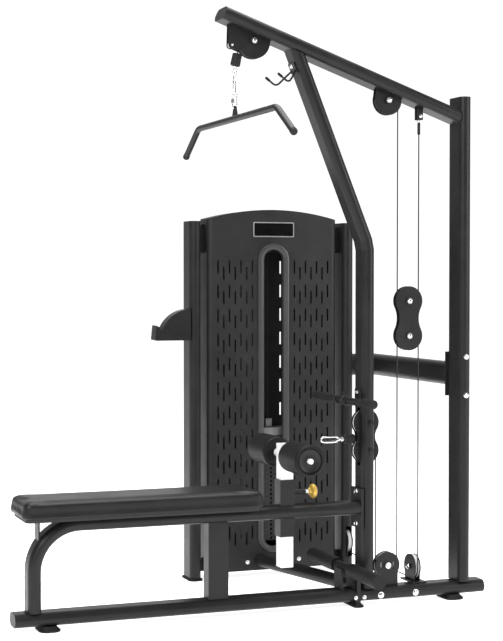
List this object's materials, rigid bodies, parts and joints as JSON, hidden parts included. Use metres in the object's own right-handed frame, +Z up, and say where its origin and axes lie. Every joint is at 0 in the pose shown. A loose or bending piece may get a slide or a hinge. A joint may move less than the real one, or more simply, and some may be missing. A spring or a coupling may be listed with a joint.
{
  "type": "lat pulldown machine",
  "caption": "Free-standing lat pulldown and low row station with a bench, knee rollers, a sloping boom, a floating pulley block and a covered weight tower.",
  "frame": {"origin": "on the floor under the middle of the machine's bounding box", "axes": "+X from the bench end to the rear post, +Y from the bench to the weight tower, +Z up"},
  "size_m": [1.91, 1.4419, 2.304],
  "materials": {
    "frame_paint": "satin powder coat",
    "cover_paint": "satin powder coat",
    "bezel_grey": "satin",
    "badge": "gloss",
    "bright_steel": "polished",
    "black_plastic": "moulded",
    "rubber": "matte",
    "vinyl": "fine grain",
    "plywood": "raw",
    "foam_sleeve": "skinned foam",
    "gold_knob": "gloss",
    "wheel_nylon": "smooth",
    "cable_coat": "smooth",
    "stack_iron": "painted"
  },
  "bodies": {
    "frame": {"bench_frame": "frame_paint", "bench_rail": "frame_paint", "main_rail": "frame_paint", "mast": "frame_paint", "boom": "frame_paint", "rear_post": "frame_paint", "rear_brace": "frame_paint", "base_link_tube": "frame_paint", "tower_frame": "frame_paint", "front_cover": "cover_paint", "rear_cover": "cover_paint", "top_cover": "cover_paint", "window_bezel": "bezel_grey", "badge_plate": "badge", "frame_bolts": "bright_steel", "tube_caps": "black_plastic", "floor_feet": "rubber", "seat_board": "plywood", "seat_pad": "vinyl", "knee_sleeve": "frame_paint", "boom_pulley_plates": "frame_paint", "row_pulley_plates": "frame_paint", "floor_pulley_plates": "frame_paint", "storage_hooks": "black_plastic", "accessory_hook": "frame_paint", "footrest": "rubber", "guide_rods": "bright_steel", "stack_bumpers": "rubber", "weight_stack": "stack_iron", "lat_cable_run": "cable_coat", "low_cable_run": "cable_coat"},
    "knee_holddown": {"knee_post": "bright_steel"},
    "near_knee_roller": {"near_roller": "foam_sleeve"},
    "far_knee_roller": {"far_roller": "foam_sleeve"},
    "pop_pin_knob": {"pop_pin": "gold_knob"},
    "front_boom_wheel": {"front_wheel": "wheel_nylon"},
    "cable_guide": {"guide_roller": "wheel_nylon"},
    "rear_boom_wheel": {"rear_wheel": "wheel_nylon"},
    "floating_block": {"block_plates": "frame_paint", "lat_cable_loop": "cable_coat", "low_cable_loop": "cable_coat"},
    "upper_block_wheel": {"block_upper_wheel": "wheel_nylon"},
    "lower_block_wheel": {"block_lower_wheel": "wheel_nylon"},
    "upper_row_wheel": {"row_upper_wheel": "wheel_nylon"},
    "lower_row_wheel": {"row_lower_wheel": "wheel_nylon"},
    "big_low_wheel": {"low_wheel": "wheel_nylon"},
    "floor_turn_wheel": {"turn_wheel": "wheel_nylon"},
    "tower_floor_wheel": {"tower_low_wheel": "wheel_nylon"},
    "tower_outer_wheel": {"tower_right_wheel": "wheel_nylon"},
    "tower_inner_wheel": {"tower_centre_wheel": "wheel_nylon"},
    "lat_hanger": {"lat_stopper": "rubber", "lat_cable_drop": "cable_coat"},
    "lat_swivel_link": {"lat_link": "bright_steel"},
    "lat_bar_assembly": {"lat_bar": "frame_paint"},
    "row_end": {"row_cable_end": "rubber"},
    "row_bar": {"row_handle": "rubber"},
    "lifted_weights": {"lifted_plates": "stack_iron", "selector_rod": "bright_steel", "stack_cable": "cable_coat"},
    "weight_selector": {"selector_pin": "gold_knob"}
  },
  "joints": [
    {"name": "stack_lift", "type": "slide", "parent": "frame", "child": "lifted_weights", "axis": [0, 0, 1], "range_m": [0, 0.7], "deforming": ["stack_cable"]},
    {"name": "lat_pull", "type": "slide", "parent": "frame", "child": "lat_hanger", "axis": [0, 0, -1], "range_m": [0, 0.7], "deforming": ["lat_cable_drop"]},
    {"name": "block_rise", "type": "slide", "parent": "frame", "child": "floating_block", "axis": [0, 0, 1], "range_m": [0, 0.36], "deforming": ["lat_cable_loop", "low_cable_loop"]},
    {"name": "lat_swivel", "type": "hinge", "parent": "lat_hanger", "child": "lat_swivel_link", "pos_m": [-0.096, -0.12, 2.05], "axis": [0, 0, 1], "range_deg": [-60, 60]},
    {"name": "lat_tilt", "type": "hinge", "parent": "lat_swivel_link", "child": "lat_bar_assembly", "pos_m": [-0.096, -0.12, 1.926], "axis": [1, 0, 0], "range_deg": [-20, 20]},
    {"name": "front_wheel_spin", "type": "hinge", "parent": "frame", "child": "front_boom_wheel", "pos_m": [-0.025, -0.12, 2.184], "axis": [0, 1, 0], "range_deg": [-880, 10]},
    {"name": "rear_wheel_spin", "type": "hinge", "parent": "frame", "child": "rear_boom_wheel", "pos_m": [0.54, -0.12, 1.982], "axis": [0, 1, 0], "range_deg": [-880, 10]},
    {"name": "block_upper_spin", "type": "hinge", "parent": "floating_block", "child": "upper_block_wheel", "pos_m": [0.633, -0.12, 1.195], "axis": [0, 1, 0], "range_deg": [-10, 880]},
    {"name": "block_lower_spin", "type": "hinge", "parent": "floating_block", "child": "lower_block_wheel", "pos_m": [0.633, -0.12, 1.057], "axis": [0, 1, 0], "range_deg": [-880, 10]},
    {"name": "turn_wheel_spin", "type": "hinge", "parent": "frame", "child": "floor_turn_wheel", "pos_m": [0.6795, -0.0735, 0.128], "axis": [1, 0, 0], "range_deg": [-880, 10]},
    {"name": "tower_low_spin", "type": "hinge", "parent": "frame", "child": "tower_floor_wheel", "pos_m": [0.6795, 0.5815, 0.128], "axis": [1, 0, 0], "range_deg": [-880, 10]},
    {"name": "tower_outer_spin", "type": "hinge", "parent": "frame", "child": "tower_outer_wheel", "pos_m": [0.633, 0.628, 1.452], "axis": [0, 1, 0], "range_deg": [-10, 880]},
    {"name": "tower_inner_spin", "type": "hinge", "parent": "frame", "child": "tower_inner_wheel", "pos_m": [0.3735, 0.628, 1.452], "axis": [0, 1, 0], "range_deg": [-10, 880]},
    {"name": "guide_roller_spin", "type": "hinge", "parent": "frame", "child": "cable_guide", "pos_m": [-0.112, -0.12, 2.165], "axis": [0, 1, 0], "continuous": true},
    {"name": "row_pull", "type": "slide", "parent": "frame", "child": "row_end", "axis": [-0.9397, 0, 0.342], "range_m": [0, 0.75]},
    {"name": "row_lower_spin", "type": "hinge", "parent": "frame", "child": "lower_row_wheel", "pos_m": [0.4475, -0.12, 0.609], "axis": [0, 1, 0], "range_deg": [-940, 10]},
    {"name": "low_wheel_spin", "type": "hinge", "parent": "frame", "child": "big_low_wheel", "pos_m": [0.5405, -0.12, 0.15], "axis": [0, 1, 0], "range_deg": [-10, 940]},
    {"name": "row_upper_spin", "type": "hinge", "parent": "frame", "child": "upper_row_wheel", "pos_m": [0.4475, -0.12, 0.719], "axis": [0, 1, 0], "continuous": true},
    {"name": "row_bar_lift", "type": "slide", "parent": "frame", "child": "row_bar", "axis": [0, 0, 1], "range_m": [0, 0.15]},
    {"name": "knee_height", "type": "slide", "parent": "frame", "child": "knee_holddown", "axis": [0, 0, 1], "range_m": [-0.05, 0.1]},
    {"name": "near_roller_spin", "type": "hinge", "parent": "knee_holddown", "child": "near_knee_roller", "pos_m": [0.108, -0.12, 0.606], "axis": [0, 1, 0], "continuous": true},
    {"name": "far_roller_spin", "type": "hinge", "parent": "knee_holddown", "child": "far_knee_roller", "pos_m": [0.108, -0.12, 0.606], "axis": [0, 1, 0], "continuous": true},
    {"name": "pop_pin_pull", "type": "slide", "parent": "frame", "child": "pop_pin_knob", "axis": [1, 0, 0], "range_m": [0, 0.012], "stiffness_N_per_m": 400, "springref_m": -0.01},
    {"name": "selector_pull", "type": "slide", "parent": "lifted_weights", "child": "weight_selector", "axis": [0, -1, 0], "range_m": [0, 0.1]}
  ],
  "couplings": [
    {"joint": "lat_pull", "follows": "stack_lift", "ratio": 1},
    {"joint": "block_rise", "follows": "stack_lift", "ratio": 0.5},
    {"joint": "front_wheel_spin", "follows": "stack_lift", "rad_per_m": -16.949},
    {"joint": "rear_wheel_spin", "follows": "stack_lift", "rad_per_m": -21.505},
    {"joint": "block_upper_spin", "follows": "stack_lift", "rad_per_m": 10.753},
    {"joint": "block_lower_spin", "follows": "stack_lift", "rad_per_m": -10.753},
    {"joint": "turn_wheel_spin", "follows": "stack_lift", "rad_per_m": -21.505},
    {"joint": "tower_low_spin", "follows": "stack_lift", "rad_per_m": -21.505},
    {"joint": "tower_outer_spin", "follows": "stack_lift", "rad_per_m": 21.505},
    {"joint": "tower_inner_spin", "follows": "stack_lift", "rad_per_m": 21.505},
    {"joint": "row_lower_spin", "follows": "row_pull", "rad_per_m": -21.505},
    {"joint": "low_wheel_spin", "follows": "row_pull", "rad_per_m": 21.505}
  ]
}
